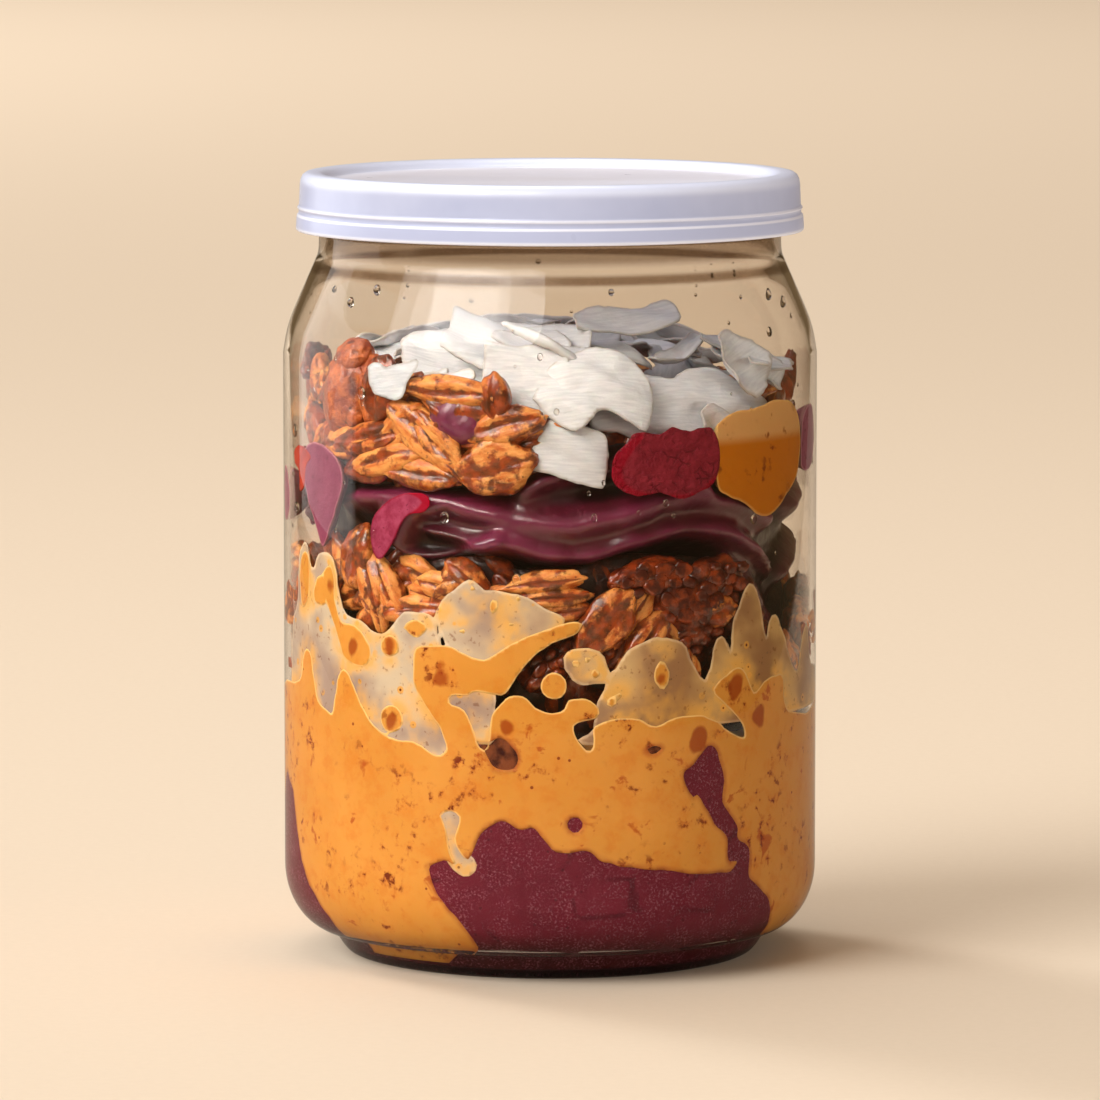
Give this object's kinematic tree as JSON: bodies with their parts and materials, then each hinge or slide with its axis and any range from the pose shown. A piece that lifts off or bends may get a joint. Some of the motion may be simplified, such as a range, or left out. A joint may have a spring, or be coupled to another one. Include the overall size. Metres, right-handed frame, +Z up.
{
  "type": "layered food in a shut jar",
  "caption": "Clear round plastic jar with a push-on lid, filled with layers of acai, orange cream, granola and coconut chips.",
  "frame": {"origin": "centre of the jar's base, on the surface that it stands on", "axes": "+Z up along the jar's axis; the side with the cream's hook and the large coconut chip faces -Y; +X is to that side's right"},
  "size_m": [0.08, 0.08, 0.1173],
  "materials": {
    "clear_jar": "clear, polished",
    "lid_plastic": "translucent, softly frosted",
    "acai": "thick frozen puree, satin",
    "acai_red": "frozen piece, dull with a wet rim",
    "orange_cream": "smooth cream, flecked",
    "granola": "baked, glazed oats",
    "nut_cluster": "baked, glazed nut",
    "coconut": "dry shaving"
  },
  "bodies": {
    "root": {"jar": "clear_jar", "lid": "lid_plastic", "acai_base": "acai", "cream": "orange_cream", "acai_streak": "acai", "cream_hook": "orange_cream", "cream_streak": "orange_cream", "granola_middle": "granola", "acai_swirl": "acai", "granola_top": "granola", "nut_cluster": "nut_cluster", "acai_piece": "acai_red", "cream_drop": "orange_cream", "acai_drop_left": "acai", "acai_drop_right": "acai", "acai_drop_side": "acai", "coconut_chip_01": "coconut", "coconut_chip_02": "coconut", "coconut_chip_03": "coconut", "coconut_chip_04": "coconut", "coconut_chip_05": "coconut", "coconut_chip_06": "coconut", "coconut_chip_07": "coconut", "coconut_chip_08": "coconut", "coconut_chip_09": "coconut", "coconut_chip_10": "coconut", "coconut_chip_11": "coconut", "coconut_chip_12": "coconut", "coconut_chip_13": "coconut", "coconut_chip_14": "coconut", "coconut_chip_15": "coconut", "coconut_chip_16": "coconut", "coconut_chip_17": "coconut"}
  },
  "joints": []
}
